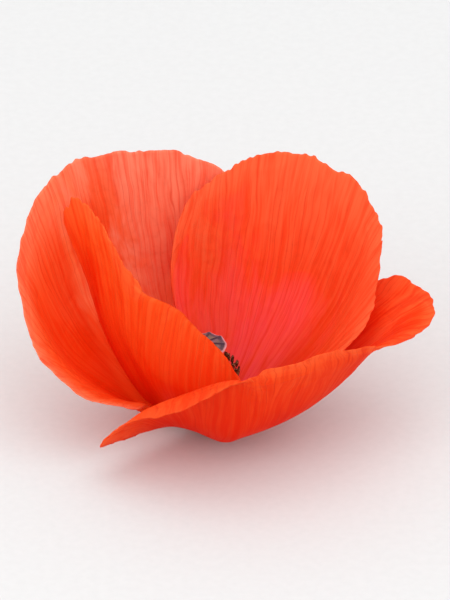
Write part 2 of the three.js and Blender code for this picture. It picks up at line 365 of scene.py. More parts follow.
def blade_pattern(tree, place, size, seed, patch_mm, inputs, output=0, **settings):
    """Random patches, as many millimetres across the blade and along it as patch_mm says."""
    cells = add(tree, "ShaderNodeMapping", {
        "Vector": place, "Location": (seed, seed * 0.7, 0.0),
        "Scale": (size[0] / (patch_mm[0] * MM), size[1] / (patch_mm[1] * MM), 1.0),
    })
    return add(tree, NOISE, {"Vector": cells, "Scale": 1.0, **inputs}, output, **settings)


def petal_veins(tree, strayed, along, faint, count):
    """Thin lines that fan out from the claw, with one more between each two in the upper blade."""
    across = add(tree, "ShaderNodeSeparateXYZ", {0: strayed}, output="X")
    run = add(tree, MATH, {0: across, 1: count / 2}, operation="MULTIPLY")
    vein = add(tree, RAMP, {0: add(tree, MATH, {0: run, 1: 0.5}, operation="PINGPONG")},
               stops=((0.0, 1.0), (0.02, 0.7), (0.055, 0.0)))
    beside = add(tree, MATH, {0: run, 1: 0.5}, operation="ADD")
    fork = add(tree, RAMP, {0: add(tree, MATH, {0: beside, 1: 0.5}, operation="PINGPONG")},
               stops=((0.0, 1.0), (0.02, 0.6), (0.045, 0.0)))
    upper_blade = add(tree, RAMP, {0: along}, stops=((0.4, 0.0), (0.66, 1.0)))
    fork = add(tree, MATH, {0: fork, 1: upper_blade}, operation="MULTIPLY")
    both = add(tree, MATH, {0: vein, 1: fork}, operation="MAXIMUM")
    broken = add(tree, RAMP, {0: faint}, stops=((0.36, 0.05), (0.64, 1.0)))
    return add(tree, MATH, {0: both, 1: broken}, operation="MULTIPLY")


def petal_ground(tree, across, along, rim, cloud, character):
    """The colour of foot, blade and rim, which meet in cloudy edges, with the deep colour spread in
    places as painted shade, and the rim's colour alone.
    """
    deep, blade, pale, warm = (linear(character[k]) for k in ("deep", "blade", "rim", "warm_rim"))
    patchy = add(tree, "ShaderNodeMapRange", {
        "Value": cloud, "From Min": 0.36, "From Max": 0.64, "To Min": -0.2, "To Max": 0.2,
    })
    drifting = add(tree, MATH, {0: along, 1: patchy}, operation="ADD")
    (rise_start, rise_end), (wash_start, wash_end) = character["rise"], character["wash"]
    # From the deep foot to the blade. On the front petal the deep foot reaches far up as painted shade
    # on its underside, which faces down.
    rise = add(tree, RAMP, {0: drifting}, stops=((rise_start, 0.0), (rise_end, 1.0)))
    color = add(tree, MIX, {0: rise, 6: deep, 7: blade}, **OF_COLORS)

    # The deep colour spread across the petal: partly its own deeper tone, partly painted shade beside
    # the overlapping inner petal and in the front petal's fold and underside. The rim stays warm there.
    half_patchy = add(tree, MATH, {0: patchy, 1: 0.5}, operation="MULTIPLY")
    shifted = add(tree, MATH, {0: across, 1: half_patchy}, operation="ADD")
    deep_tone_and_shade = add(tree, MATH, {
        0: add(tree, RAMP, {0: along}, stops=((0.84, 1.0), (1.0, 0.35))),
        1: add(tree, RAMP, {0: shifted}, stops=character["deep_tone_and_shade"]),
    }, operation="MULTIPLY")
    toward_rim = add(tree, RAMP, {0: along}, stops=((0.55, 0.0), (0.98, 0.6)))
    deep_and_shade_color = add(tree, MIX, {0: toward_rim, 6: deep, 7: warm}, **OF_COLORS)
    color = add(tree, MIX, {0: deep_tone_and_shade, 6: color, 7: deep_and_shade_color}, **OF_COLORS)
    rim_color = add(tree, MIX, {0: deep_tone_and_shade, 6: pale, 7: warm}, **OF_COLORS)

    wash = add(tree, MATH, {
        0: add(tree, RAMP, {0: drifting}, stops=((wash_start, 0.0), (wash_end, 0.85))),
        1: add(tree, MATH, {0: 1.0, 1: deep_tone_and_shade}, operation="SUBTRACT"),
    }, operation="MULTIPLY")
    color = add(tree, MIX, {0: wash, 6: color, 7: rim_color}, **OF_COLORS)
    at_rim = add(tree, MATH, {0: rim, 1: 0.7}, operation="MULTIPLY")
    color = add(tree, MIX, {0: at_rim, 6: color, 7: rim_color}, **OF_COLORS)
    if "blush" in character:
        blush = add(tree, MATH, {
            0: add(tree, RAMP, {0: drifting}, stops=((0.24, 1.0), (0.8, 0.0))),
            1: add(tree, RAMP, {0: across}, stops=((0.5, 0.95), (0.8, 0.1))),
        }, operation="MULTIPLY")
        color = add(tree, MIX, {0: blush, 6: color, 7: linear(character["blush"])}, **OF_COLORS)
    return color, rim_color


def poppy_petal(name, settings, character, size):
    """Living poppy petal: a thin silky film, finely veined and crumpled, that glows in the light.

    Size is the petal's width and length in metres, so that patterns keep their real size.
    """
    seed = character["seed"]
    material, tree = new_material(name)
    flat = add(tree, "ShaderNodeTexCoord", output="UV")
    across = add(tree, "ShaderNodeSeparateXYZ", {0: flat}, output="X")
    along = add(tree, "ShaderNodeSeparateXYZ", {0: flat}, output="Y")
    rim = add(tree, "ShaderNodeAttribute", output="Fac", attribute_name="rim")

    # Veins and streaks don't run quite straight.
    wander = blade_pattern(tree, flat, size, seed, (6, 12), {"Detail": 2.0}, output="Color")
    centred = add(tree, "ShaderNodeVectorMath", {0: wander, 1: (0.5, 0.5, 0.5)},
                  operation="SUBTRACT")
    stray = add(tree, "ShaderNodeVectorMath", {0: centred, 1: (0.045, 0.05, 0.0)},
                operation="MULTIPLY")
    strayed = add(tree, "ShaderNodeVectorMath", {0: flat, 1: stray}, operation="ADD")
    faint = blade_pattern(tree, flat, size, seed, (3.5, 20), {"Detail": 1.0})
    vein = petal_veins(tree, strayed, along, faint, size[0] / settings.vein_gap)
    # Streaks: the silk of the blade. Its real cells are too fine to show, so the streaks are drawn
    # about a millimetre wide.
    streak = blade_pattern(tree, strayed, size, seed, (1.1, 14), {"Detail": 3.0, "Roughness": 0.65},
                           noise_dimensions="2D")
    # Clouds: patches about a centimetre across, deeper than the rest.
    cloud = blade_pattern(tree, flat, size, seed, (13, 16),
                          {"Detail": 4.0, "Roughness": 0.6, "Distortion": 0.6})
    # Crepe: cross wrinkles about a millimetre apart, with painted shade in their troughs inside the
    # clouds.
    crepe = blade_pattern(tree, strayed, size, seed, (1.6, 0.8), {"Detail": 2.0})

    deep = linear(character["deep"])
    color, rim_color = petal_ground(tree, across, along, rim, cloud, character)
    deep_cloud = add(tree, RAMP, {0: cloud}, stops=((0.52, 0.0), (0.6, 0.3)))
    color = add(tree, MIX, {0: deep_cloud, 6: color, 7: deep}, **OF_COLORS)
    deep_streak = add(tree, RAMP, {0: streak}, stops=((0.3, 0.5), (0.54, 0.0)))
    color = add(tree, MIX, {0: deep_streak, 6: color, 7: deep}, **OF_COLORS)
    pale_streak = add(tree, MATH, {
        0: add(tree, RAMP, {0: along}, stops=((0.5, 0.4), (0.9, 1.0))),
        1: add(tree, RAMP, {0: streak}, stops=((0.48, 0.0), (0.68, 0.3))),
    }, operation="MULTIPLY")
    color = add(tree, MIX, {0: pale_streak, 6: color, 7: rim_color}, **OF_COLORS)
    dark_vein = add(tree, MATH, {
        0: vein,
        1: add(tree, RAMP, {0: along}, stops=((0.1, 0.1), (0.5, 0.3), (0.9, 0.5), (1.0, 0.3))),
    }, operation="MULTIPLY")
    color = add(tree, MIX, {0: dark_vein, 6: color, 7: linear("#d6301a")}, **OF_COLORS)
    # Painted shade in the crepe's troughs, where the clouds are deep.
    crepe_trough_shade = add(tree, MATH, {
        0: add(tree, RAMP, {0: crepe}, stops=((0.34, 1.0), (0.5, 0.0))),
        1: add(tree, RAMP, {0: cloud}, stops=((0.5, 0.0), (0.62, 0.1))),
    }, operation="MULTIPLY")
    color = add(tree, MIX, {0: crepe_trough_shade, 6: color, 7: linear("#cc3616")}, **OF_COLORS)
    color = add(tree, MIX, {0: 1.0, 6: color, 7: tuple(settings.tint)}, blend_type="MULTIPLY",
                **OF_COLORS)

    streak_rise = add(tree, MATH, {0: streak, 1: 0.6}, operation="MULTIPLY")
    vein_sink = add(tree, MATH, {0: vein, 1: -0.35}, operation="MULTIPLY")
    crepe_rise = add(tree, MATH, {0: crepe, 1: 0.22}, operation="MULTIPLY")
    relief = add(tree, MATH, {0: streak_rise, 1: vein_sink}, operation="ADD")
    relief = add(tree, MATH, {0: relief, 1: crepe_rise}, operation="ADD")
    bump = add(tree, "ShaderNodeBump", {"Height": relief, "Strength": 0.35, "Distance": 0.12 * MM})
    surface = add(tree, "ShaderNodeBsdfPrincipled", {
        "Base Color": color, "Normal": bump, "IOR": 1.4, "Specular IOR Level": 0.06,
        "Roughness": add(tree, RAMP, {0: streak}, stops=((0.3, 0.6), (0.7, 0.46))),
    })
    through = add(tree, MIX, {0: 1.0, 6: color, 7: linear("#ffcfb4")}, blend_type="MULTIPLY",
                  **OF_COLORS)
    glow = add(tree, "ShaderNodeBsdfTranslucent", {"Color": through, "Normal": bump})
    both = add(tree, "ShaderNodeMixShader", {0: settings.glow, 1: surface, 2: glow})
    add(tree, "ShaderNodeOutputMaterial", {"Surface": both})
    return material


def fresh_skin(name, base, spot, grain_mm, roughness, bump_mm):
    """Living plant skin: matt to satin, softly mottled, with a fine darker grain."""
    material, tree = new_material(name)
    place = add(tree, "ShaderNodeTexCoord", output="Object")
    mottle = add(tree, NOISE, {"Vector": place, "Scale": 1 / (grain_mm * 6 * MM), "Detail": 3.0})
    grain = add(tree, NOISE, {
        "Vector": place, "Scale": 1 / (grain_mm * MM), "Detail": 3.0, "Roughness": 0.6,
    })
    mottled = add(tree, RAMP, {0: mottle}, stops=((0.38, 0.0), (0.64, 1.0)))
    color = add(tree, MIX, {0: mottled, 6: base, 7: spot}, **OF_COLORS)
    shade = (*(channel * 0.45 for channel in base[:3]), 1.0)
    grained = add(tree, RAMP, {0: grain}, stops=((0.35, 0.35), (0.65, 0.0)))
    color = add(tree, MIX, {0: grained, 6: color, 7: shade}, **OF_COLORS)
    bump = add(tree, "ShaderNodeBump", {
        "Height": grain, "Strength": 0.6, "Distance": bump_mm * MM,
    })
    surface = add(tree, "ShaderNodeBsdfPrincipled", {
        "Base Color": color, "Normal": bump, "IOR": 1.42, "Specular IOR Level": 0.35,
        "Roughness": roughness,
    })
    add(tree, "ShaderNodeOutputMaterial", {"Surface": surface})
    return material


# ---------------------------------------------------------------------------------------------
# Petals
# ---------------------------------------------------------------------------------------------

PETAL_STEPS_ACROSS = 230
PETAL_STEPS_ALONG = 150
CORNER_WIDTH = 0.07


def from_axis(point):
    azimuth, radius, height = point
    angle = math.radians(azimuth)
    return (radius * math.cos(angle), radius * math.sin(angle), height)


def smooth_curve(points, places):
    """Points on the smooth curve through the given points, at places from 0 to 1."""
    points = np.asarray(points, float)
    ends = 2 * points[0] - points[1], 2 * points[-1] - points[-2]
    padded = np.concatenate([ends[0][None], points, ends[1][None]])
    spot = np.asarray(places) * (len(points) - 1)
    index = np.minimum(spot.astype(int), len(points) - 2)
    t = (spot - index).reshape((-1,) + (1,) * (points.ndim - 1))
    before, start, end, after = (padded[index + k] for k in range(4))
    out, into = (end - before) / 2, (after - start) / 2
    return ((2 * start - 2 * end + out + into) * t ** 3
            + (-3 * start + 3 * end - 2 * out - into) * t ** 2 + out * t + start)


def petal_sheet(petal, across, along):
    """The petal's middle surface in millimetres, as an array of places across by along."""
    ribs = petal["ribs"]
    middle = (ribs[0][0][0] + ribs[-1][0][0]) / 2
    curves = []
    for rib in ribs:
        claw = [middle + (rib[0][0] - middle) * CLAW_SPREAD, *petal["claw"]]
        curves.append(smooth_curve([from_axis(p) for p in [claw, *rib]], along))
    return smooth_curve(curves, across)


def round_corners(sheet, across, along, depth):
    """Draws the rim in at both sides, so that the blade's corners are round."""
    side = np.minimum(np.minimum(across, 1 - across) / CORNER_WIDTH, 1)
    reach = 1 - depth * (1 - np.sqrt(1 - (1 - side) ** 2))
    rounded = np.empty_like(sheet)
    for i, share in enumerate(reach):
        for k in range(3):
            rounded[i, :, k] = np.interp(along * share, along, sheet[i, :, k])
    return rounded


def swells(rng, across, along, u, v):
    """Smooth random swells from -1 to 1, with that many of them across and along the petal."""
    heights = rng.uniform(-1, 1, (int(across) + 3, int(along) + 3))
    x, y = u * across, v * along
    i, j = np.floor(x).astype(int), np.floor(y).astype(int)
    s, t = (f * f * f * (f * (6 * f - 15) + 10) for f in (x - i, y - j))
    low = heights[i, j] * (1 - s) + heights[i + 1, j] * s
    high = heights[i, j + 1] * (1 - s) + heights[i + 1, j + 1] * s
    return low * (1 - t) + high * t


def crumple(surface, u, v, character, settings):
    """Moves the petal's surface: frayed rim, ruffles, pleats and creases. Millimetres."""
    rng = np.random.default_rng(character["seed"])
    du, dv = np.gradient(surface, axis=0), np.gradient(surface, axis=1)
    normal = np.cross(du, dv)
    normal /= np.linalg.norm(normal, axis=2, keepdims=True)
    outward = dv / np.linalg.norm(dv, axis=2, keepdims=True)
    sideways = du / np.linalg.norm(du, axis=2, keepdims=True)
    side = np.minimum(u, 1 - u)

    # Teeth of three sizes along the rim, and of two down the sides.
    near_rim = smoothstep(0.93, 1.0, v)
    tooth = settings.tooth / MM
    fray = (swells(rng, 11, 1, u, v * 0) * 0.9 + swells(rng, 34, 1, u, v * 0) * 0.75
            + swells(rng, 95, 1, u, v * 0) * 0.5)
    moved = surface + outward * (near_rim * fray * tooth)[..., None]
    near_side = smoothstep(0.035, 0.0, side) * smoothstep(0.15, 0.5, v)
    side_fray = swells(rng, 1, 9, u * 0, v) * 0.8 + swells(rng, 1, 34, u * 0, v) * 0.5
    moved += sideways * (near_side * side_fray * tooth * 0.8)[..., None]

    # Ruffles of three sizes, highest at the margin, then pleats, and folds along and across.
    open_blade = smoothstep(0.3, 0.85, v)
    margin = np.maximum(smoothstep(0.8, 1.0, v), smoothstep(0.09, 0.0, side) * open_blade)
    ruffle = (swells(rng, 9, 3, u, v) * 0.55 + swells(rng, 22, 5, u, v) * 0.3
              + swells(rng, 52, 7, u, v) * 0.15)
    height = character["ruffle"] * ruffle * (0.22 * open_blade + 0.78 * margin)
    height += settings.pleat / MM * open_blade * (
        swells(rng, 62, 3, u, v) + 0.5 * swells(rng, 118, 4, u, v))
    fold = 1 - np.abs(swells(rng, 16, 9, u, v))
    cross_fold = 1 - np.abs(swells(rng, 26, 24, u, v))
    patches = smoothstep(-0.1, 0.6, swells(rng, 5, 4, u, v))
    height += character["crease"] * open_blade * (fold ** 5 + cross_fold ** 4 * patches)
    return moved + normal * height[..., None]


def make_petal(name, settings):
    """Lays a flat grid over the petal's crumpled surface and gives it its thickness."""
    petal, character = PETALS[name], PETAL_CHARACTER[name]
    deselect_all()
    bpy.ops.mesh.primitive_grid_add(
        x_subdivisions=PETAL_STEPS_ACROSS, y_subdivisions=PETAL_STEPS_ALONG, size=1.0,
        calc_uvs=True, location=(0, 0, 0),
    )
    piece = bpy.context.object
    piece.name = name + "_blade"
    mesh = piece.data
    flat = np.empty(len(mesh.vertices) * 3)
    mesh.vertices.foreach_get("co", flat)
    flat = flat.reshape(-1, 3)
    across = np.linspace(0, 1, PETAL_STEPS_ACROSS + 1)
    along = np.linspace(0, 1, PETAL_STEPS_ALONG + 1)
    u, v = np.meshgrid(across, along, indexing="ij")
    sheet = petal_sheet(petal, across, along)
    sheet = round_corners(sheet, across, along, character["corner"])
    width = np.linalg.norm(np.diff(sheet[:, -1], axis=0), axis=1).sum() * MM
    length = np.linalg.norm(np.diff(sheet[len(across) // 2], axis=0), axis=1).sum() * MM
    blade = crumple(sheet, u, v, character, settings)
    # The blade's middle stays half its thickness above the surface that the blossom stands on.
    blade[..., 2] = np.maximum(blade[..., 2], settings.thickness / MM / 2)
    i = np.rint((flat[:, 0] + 0.5) * PETAL_STEPS_ACROSS).astype(int)
    j = np.rint((flat[:, 1] + 0.5) * PETAL_STEPS_ALONG).astype(int)
    places = blade[i, j] * MM + np.array(AXIS)
    mesh.vertices.foreach_set("co", places.astype(np.float32).ravel())

    side = np.minimum(u, 1 - u)[i, j]
    rim = np.maximum(smoothstep(0.86, 1.0, v[i, j]) * 0.85,
                     smoothstep(0.045, 0.0, side) * smoothstep(0.35, 0.7, v[i, j]) * 0.3)
    attribute = mesh.attributes.new("rim", "FLOAT", "POINT")
    attribute.data.foreach_set("value", rim.astype(np.float32))
    mesh.update()
    apply_modifier(piece, "SOLIDIFY", thickness=settings.thickness, offset=0.0,
                   use_even_offset=False, use_quality_normals=True)
    smooth(piece)
    material = poppy_petal("living_poppy_petal_" + name[6:], settings, character, (width, length))
    finish_piece(piece, character["slot"], [name], material)
    return piece


class PoppyPetals(bpy.types.Operator):
    """Lofts the four petals over their ribs, crumples them and gives them their thickness"""

    bl_idname = "poppy.petals"
    bl_label = "Petals"

    def execute(self, context):
        settings = context.scene.poppy_petals
        for name in PETALS:
            make_petal(name, settings)
        return {"FINISHED"}


# ---------------------------------------------------------------------------------------------
# Receptacle, ovary and stigma cap
# ---------------------------------------------------------------------------------------------


def start_mesh(name, primitive, **settings):
    deselect_all()
    primitive(**settings)
    piece = bpy.context.object
    piece.name = name
    return piece


def top_face(mesh):
    return max(mesh.polygons, key=lambda face: face.center.z)


def stack_rings(piece, rings):
    """Extrudes the piece's top face through rings of (radius, height), as by hand."""
    make_active(piece)
    for face in piece.data.polygons:
        face.select = False
    for edge in piece.data.edges:
        edge.select = False
    for vertex in piece.data.vertices:
        vertex.select = False
    face = top_face(piece.data)
    face.select = True
    center = Vector(face.center)
    radius = (piece.data.vertices[face.vertices[0]].co.xy - center.xy).length
    bpy.ops.object.mode_set(mode="EDIT")
    bpy.ops.mesh.select_mode(type="FACE")
    height = center.z
    for next_radius, next_height in rings:
        bpy.ops.mesh.extrude_region_move(
            TRANSFORM_OT_translate={"value": (0, 0, next_height - height)})
        share = next_radius / radius
        bpy.ops.transform.resize(
            value=(share, share, 1), center_override=(center.x, center.y, next_height))
        radius, height = next_radius, next_height
    bpy.ops.object.mode_set(mode="OBJECT")


class PoppyReceptacle(bpy.types.Operator):
    """Makes the receptacle with its stub of cut stalk"""

    bl_idname = "poppy.receptacle"
    bl_label = "Receptacle and stalk"

    def execute(self, context):
        low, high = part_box("receptacle_stalk")
        radius = (high.x - low.x) / 2
        tall = high.z - low.z
        stalk = radius * 0.38
        piece = start_mesh(
            "receptacle_with_stalk", bpy.ops.mesh.primitive_cylinder_add, vertices=48,
            radius=stalk, depth=tall * 0.02, location=(AXIS.x, AXIS.y, tall * 0.01),
        )
        apply_place(piece)
        stack_rings(piece, [
            (stalk, tall * 0.1), (stalk, tall * 0.21), (radius * 0.56, tall * 0.34),
            (radius * 0.83, tall * 0.47), (radius * 0.97, tall * 0.62), (radius, tall * 0.78),
            (radius * 0.99, tall * 0.93), (radius * 0.93, tall), (radius * 0.6, tall),
            (radius * 0.2, tall),
        ])
        apply_modifier(piece, "SUBSURF", levels=1, render_levels=1)
        smooth(piece)
        base = tuple(context.scene.poppy_centre.stalk_color)
        skin = fresh_skin("fresh_green_stalk", base, linear("#93a85a"), 0.35, 0.5, 0.05)
        finish_piece(piece, "stalk", ["receptacle_stalk"], skin)
        return {"FINISHED"}


# Sizes of the pistil before it leans, as in the part's own source.
OVARY_HEIGHT = 9.6 * MM
OVARY_RADIUS = 3.0 * MM
CAP_RADIUS = 4.1 * MM
CAP_THICKNESS = 0.9 * MM
RAY_RISE = 0.34 * MM
CAP_DROOP = 0.1 * MM


def pistil_axis():
    """The ovary's foot and the cap's middle, between which the pistil leans."""
    return Vector((AXIS.x, AXIS.y, RECEPTACLE_TOP + PIECE_GAP)), node_middle("stigma_cap")


def lean(piece):
    """Leans an upright piece of the pistil about the ovary's foot."""
    foot, head = pistil_axis()
    turn = Vector((0, 0, 1)).rotation_difference((head - foot).normalized()).to_matrix().to_4x4()
    piece.matrix_world = (Matrix.Translation(foot) @ turn @ Matrix.Translation(-foot)
                          @ piece.matrix_world)
    apply_place(piece)


class PoppyPistil(bpy.types.Operator):
    """Makes the ovary and the rayed stigma cap on it"""

    bl_idname = "poppy.pistil"
    bl_label = "Ovary and stigma cap"

    def execute(self, context):
        foot, _ = pistil_axis()
        self.make_ovary(foot, context.scene.poppy_centre)
        self.make_cap(foot, context.scene.poppy_centre)
        return {"FINISHED"}

    def make_ovary(self, foot, settings):
        tall, wide, rays = OVARY_HEIGHT, OVARY_RADIUS, settings.rays
        piece = start_mesh(
            "ovary_body", bpy.ops.mesh.primitive_cylinder_add, vertices=rays * 8,
            radius=wide * 0.5, depth=tall * 0.02,
            location=(foot.x, foot.y, foot.z + tall * 0.01),
        )
        apply_place(piece)
        shape = [(0.56, 0.06), (0.68, 0.13), (0.79, 0.24), (0.89, 0.37), (0.96, 0.5), (1.0, 0.64),
                 (1.0, 0.76), (0.97, 0.87), (0.92, 0.95), (0.88, 1.0), (0.5, 1.0), (0.15, 1.0)]
        stack_rings(piece, [(wide * r, foot.z + tall * h) for r, h in shape])
        # The wall swells a little under each ray.
        for vertex in piece.data.vertices:
            out = vertex.co - foot
            angle = math.atan2(out.y, out.x)
            bulge = 1 + 0.022 * math.cos(angle * rays) * math.sin(math.pi * min(out.z / tall, 1))
            vertex.co.x = foot.x + out.x * bulge
            vertex.co.y = foot.y + out.y * bulge
        apply_modifier(piece, "SUBSURF", levels=1, render_levels=1)
        lean(piece)
        smooth(piece)
        base = tuple(settings.ovary_color)
        skin = fresh_skin("waxy_green_capsule", base, linear("#a9b777"), 0.5, 0.42, 0.03)
        finish_piece(piece, "ovary", ["ovary"], skin)

    def make_cap(self, foot, settings):
        wide, thick, rays = CAP_RADIUS, CAP_THICKNESS, settings.rays
        low = foot.z + OVARY_HEIGHT + PIECE_GAP
        piece = start_mesh(
            "stigma_disc", bpy.ops.mesh.primitive_cylinder_add, vertices=rays * 14,
            radius=wide * 0.62, depth=thick * 0.1, location=(foot.x, foot.y, low + thick * 0.05),
        )
        apply_place(piece)
        shape = [(0.86, 0.12), (0.97, 0.2), (1.0, 0.34), (0.985, 0.5), (0.94, 0.6), (0.86, 0.66),
                 (0.76, 0.7), (0.64, 0.76), (0.5, 0.82), (0.36, 0.88), (0.22, 0.94), (0.1, 0.99),
                 (0.03, 1.0)]
        stack_rings(piece, [(wide * r, low + thick * h) for r, h in shape])
        # The rays are ridges on the upper side, and the rim runs out a little at each ray's end.
        raised = piece.data.attributes.new("ray", "FLOAT", "POINT")
        spread = piece.data.attributes.new("reach", "FLOAT", "POINT")
        for vertex in piece.data.vertices:
            out = vertex.co - Vector((foot.x, foot.y, vertex.co.z))
            reach = out.length / wide
            wave = (1 + math.cos(math.atan2(out.y, out.x) * rays)) / 2
            ridge = wave ** 3
            on_top = vertex.co.z > low + thick * 0.45
            raised.data[vertex.index].value = ridge if on_top else 0.0
            spread.data[vertex.index].value = min(reach, 1.0)
            edge = (wave ** 0.6) * reach ** 4
            vertex.co.x += out.x * 0.03 * edge
            vertex.co.y += out.y * 0.03 * edge
            if on_top:
                vertex.co.z += RAY_RISE * ridge * min(1.0, reach * 2.2) - CAP_DROOP * reach ** 5
        apply_modifier(piece, "SUBSURF", levels=1, render_levels=1)
        lean(piece)
        smooth(piece)
        velvet = velvet_stigma(tuple(settings.ray_color))
        finish_piece(piece, "stigma", ["stigma_cap"], velvet)


def velvet_stigma(ray_color):
    """Velvety stigma: dark rays with a pile of fine hairs on an olive and mauve disc, pale-edged."""
    material, tree = new_material("velvety_stigma_cap")
    place = add(tree, "ShaderNodeTexCoord", output="Object")
    pile = add(tree, NOISE, {"Vector": place, "Scale": 1 / (0.16 * MM), "Detail": 3.0})
    mottle = add(tree, NOISE, {"Vector": place, "Scale": 1 / (1.1 * MM), "Detail": 2.0})
    ray = add(tree, "ShaderNodeAttribute", output="Fac", attribute_name="ray")
    reach = add(tree, "ShaderNodeAttribute", output="Fac", attribute_name="reach")
    mottled = add(tree, RAMP, {0: mottle}, stops=((0.4, 0.0), (0.6, 1.0)))
    color = add(tree, MIX, {0: mottled, 6: linear("#7f7052"), 7: linear("#86626c")}, **OF_COLORS)
    # The rays, the dark band that joins them, the shade between the hairs, and the pale edge.
    for factor, stops, layer in (
        (ray, ((0.3, 0.0), (0.62, 1.0)), ray_color),
        (reach, ((0.72, 0.0), (0.8, 0.85), (0.9, 0.8), (0.94, 0.0)), linear("#4a3444")),
        (pile, ((0.38, 0.4), (0.6, 0.0)), linear("#2f2029")),
        (reach, ((0.92, 0.0), (0.97, 0.9)), linear("#d79aa2")),
    ):
        share = add(tree, RAMP, {0: factor}, stops=stops)
        color = add(tree, MIX, {0: share, 6: color, 7: layer}, **OF_COLORS)
    bump = add(tree, "ShaderNodeBump", {"Height": pile, "Strength": 0.8, "Distance": 0.08 * MM})
    surface = add(tree, "ShaderNodeBsdfPrincipled", {
        "Base Color": color, "Normal": bump, "Roughness": 0.82, "Specular IOR Level": 0.2,
        "Sheen Weight": 0.5, "Sheen Roughness": 0.5, "Sheen Tint": linear("#d7bcc4"),
    })
    add(tree, "ShaderNodeOutputMaterial", {"Surface": surface})
    return material


# ---------------------------------------------------------------------------------------------
# Stamens
# ---------------------------------------------------------------------------------------------

STAMENS_PER_RING = 24
# A stamen's path in each ring, from foot to tip, as [radius, height] in millimetres. The third
# ring only fills the gap beside the ovary.
STAMEN_PATHS = [
    [[2.25, 4.1], [3.35, 6.6], [4.05, 9.0], [4.3, 10.8]],
    [[2.65, 4.1], [3.95, 5.9], [5.0, 7.8], [5.4, 9.5]],
    [[2.45, 4.1], [3.6, 5.8], [4.5, 7.3], [4.9, 8.4]],
]


FILAMENT_SIDES = 6
FILAMENT_RINGS = 9
FILAMENT_TAPER = 0.35
LOBE_RADIUS = 0.2 * MM
LOBE_OFFSET = 0.17 * MM
LOBE_FLATTENED_FROM = 0.3 * MM
LOBE_FLATTENED_BY = 0.05 * MM


def add_filament(shape, places, radius):
    """A tapered tube through the places, closed at both ends."""
    rings = []
    for k, center in enumerate(places):
        ahead = places[min(k + 1, len(places) - 1)] - places[max(k - 1, 0)]
        side = Vector((0, 1, 0))
        up = Vector(ahead).normalized().cross(side)
        taper = radius * (1.0 - FILAMENT_TAPER * k / (len(places) - 1))
        ring = []
        for s in range(FILAMENT_SIDES):
            turn = math.tau * s / FILAMENT_SIDES
            ring.append(shape.verts.new(
                Vector(center) + taper * (side * math.cos(turn) + up * math.sin(turn))))
        rings.append(ring)
    for lower, upper in zip(rings, rings[1:]):
        for s in range(FILAMENT_SIDES):
            n = (s + 1) % FILAMENT_SIDES
            shape.faces.new((lower[s], lower[n], upper[n], upper[s]))
    shape.faces.new(list(reversed(rings[0])))
    shape.faces.new(rings[-1])


def add_anther(shape, end, direction, long):
    """Two pollen lobes side by side, flattened on their outer sides."""
    upright = Vector((0, 0, 1)).rotation_difference(direction).to_matrix().to_4x4()
    size = Matrix.Diagonal((LOBE_RADIUS, LOBE_RADIUS, long / 2, 1.0))
    for lobe in (-1, 1):
        middle = end + direction * long * 0.22 + Vector((0, lobe * LOBE_OFFSET, 0))
        made = bmesh.ops.create_uvsphere(
            shape, u_segments=10, v_segments=8, radius=1.0,
            matrix=Matrix.Translation(middle) @ upright @ size,
        )
        for vertex in made["verts"]:
            if abs(vertex.co.y - end.y) > LOBE_FLATTENED_FROM:
                vertex.co.y -= lobe * LOBE_FLATTENED_BY


def stamen_template(name, path, settings):
    """One stamen in its upright plane: the filament's faces have material 0, the anther's 1."""
    places = smooth_curve(
        [(r * MM, 0.0, h * MM) for r, h in path], np.linspace(0, 0.93, FILAMENT_RINGS))
    shape = bmesh.new()
    add_filament(shape, places, settings.filament_width / 2)
    filament_faces = set(shape.faces)
    direction = (Vector(places[-1]) - Vector(places[-3])).normalized()
    add_anther(shape, Vector(places[-1]), direction, settings.anther_length)
    for face in shape.faces:
        face.material_index = 0 if face in filament_faces else 1
    bmesh.ops.recalc_face_normals(shape, faces=shape.faces)
    mesh = bpy.data.meshes.new(name)
    shape.to_mesh(mesh)
    shape.free()
    piece = bpy.data.objects.new(name, mesh)
    bpy.context.scene.collection.objects.link(piece)
    return piece


def anther_material(base):
    """Poppy anther: dark and matt, dusted with pale pollen grains that catch the eye as specks."""
    material, tree = new_material("dusty_dark_anther")
    place = add(tree, "ShaderNodeTexCoord", output="Object")
    dust = add(tree, NOISE, {"Vector": place, "Scale": 1 / (0.22 * MM), "Detail": 3.0})
    dusted = add(tree, RAMP, {0: dust}, stops=((0.5, 0.0), (0.68, 0.85)))
    color = add(tree, MIX, {0: dusted, 6: base, 7: linear("#c89a68")}, **OF_COLORS)
    bump = add(tree, "ShaderNodeBump", {"Height": dust, "Strength": 0.7, "Distance": 0.06 * MM})
    surface = add(tree, "ShaderNodeBsdfPrincipled", {
        "Base Color": color, "Normal": bump, "Roughness": 0.75, "Specular IOR Level": 0.25,
    })
    add(tree, "ShaderNodeOutputMaterial", {"Surface": surface})
    return material


